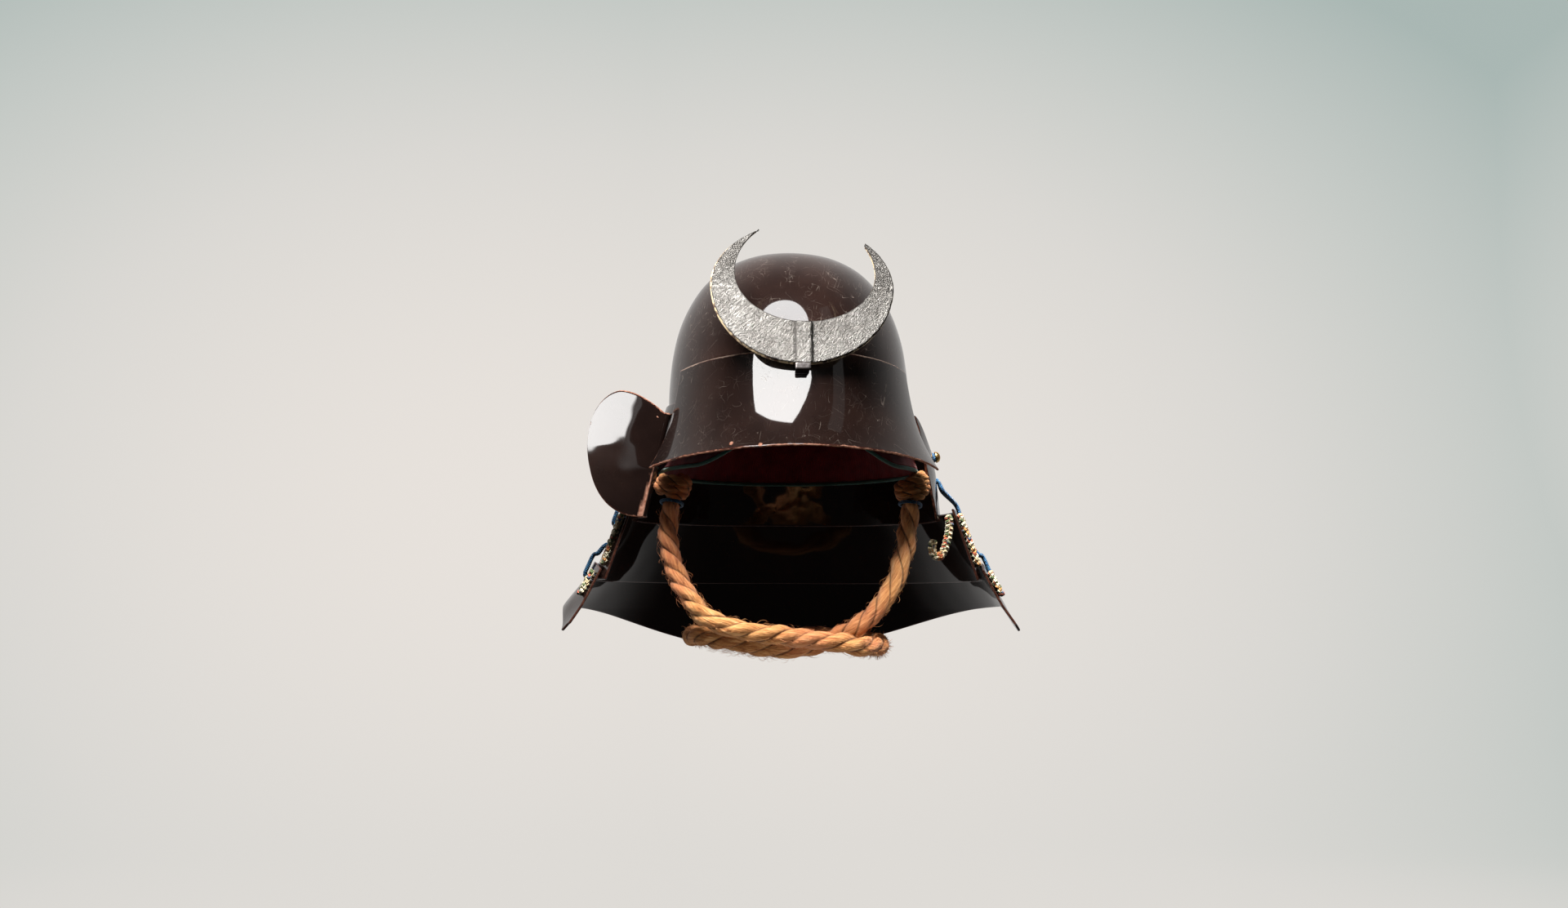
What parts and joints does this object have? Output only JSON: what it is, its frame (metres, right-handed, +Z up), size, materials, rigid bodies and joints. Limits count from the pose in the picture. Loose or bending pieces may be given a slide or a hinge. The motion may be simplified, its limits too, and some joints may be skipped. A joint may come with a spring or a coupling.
{
  "type": "kabuto samurai helmet",
  "caption": "Samurai helmet: smooth lacquered bowl, brow plate with a flared visor, crescent crest, laced flaring neck guard with a turned-back ear, and a knotted hemp chin rope.",
  "frame": {"origin": "top of the hollow, where the lining rests on the wearer's crown", "axes": "the face looks along -Y, +Z is up, and +X is on the right as one faces the helmet; the width lies along X"},
  "size_m": [0.4241, 0.381, 0.3775],
  "materials": {
    "lacquer": "old dark brown gloss lacquer, scratched and dusty, worn to copper at the edges",
    "red_cloth": "plain woven",
    "green_cloth": "plain woven edge binding",
    "silver_leather": "silvered, wrinkled, satin",
    "gilt_board": "worn gilding",
    "steel": "satin",
    "dark_iron": "blackened",
    "brass": "worn and slightly tarnished",
    "blue_silk": "braided silk lacing",
    "flecked_braid": "cream braid flecked green, red and orange",
    "hemp": "twisted natural fibre, frayed"
  },
  "bodies": {
    "root": {"bowl": "lacquer", "lining": "red_cloth", "lining_binding": "green_cloth", "brow_plate": "lacquer", "waist_band": "lacquer", "top_lame": "lacquer", "middle_lame": "lacquer", "bottom_lame": "lacquer", "crest_face": "silver_leather", "crest_backing": "gilt_board", "crest_clip": "steel", "crest_prong": "dark_iron", "rivet_1": "brass", "rivet_cord_1": "blue_silk", "rivet_2": "brass", "rivet_cord_2": "blue_silk", "rivet_3": "brass", "rivet_cord_3": "blue_silk", "rivet_4": "brass", "rivet_cord_4": "blue_silk", "rivet_5": "brass", "rivet_cord_5": "blue_silk", "upper_lace_1": "blue_silk", "lower_lace_1": "blue_silk", "upper_lace_2": "blue_silk", "lower_lace_2": "blue_silk", "upper_lace_3": "blue_silk", "lower_lace_3": "blue_silk", "upper_lace_4": "blue_silk", "lower_lace_4": "blue_silk", "upper_lace_5": "blue_silk", "lower_lace_5": "blue_silk", "upper_lace_6": "blue_silk", "lower_lace_6": "blue_silk", "upper_lace_7": "blue_silk", "lower_lace_7": "blue_silk", "middle_braid_left": "flecked_braid", "bottom_braid_left": "flecked_braid", "middle_braid_right": "flecked_braid", "bottom_braid_right": "flecked_braid", "braid_loose_end": "flecked_braid", "chin_rope": "hemp", "rope_knot_left": "hemp", "rope_knot_right": "hemp", "rope_ring_left": "blue_silk", "rope_ring_right": "blue_silk"}
  },
  "joints": []
}
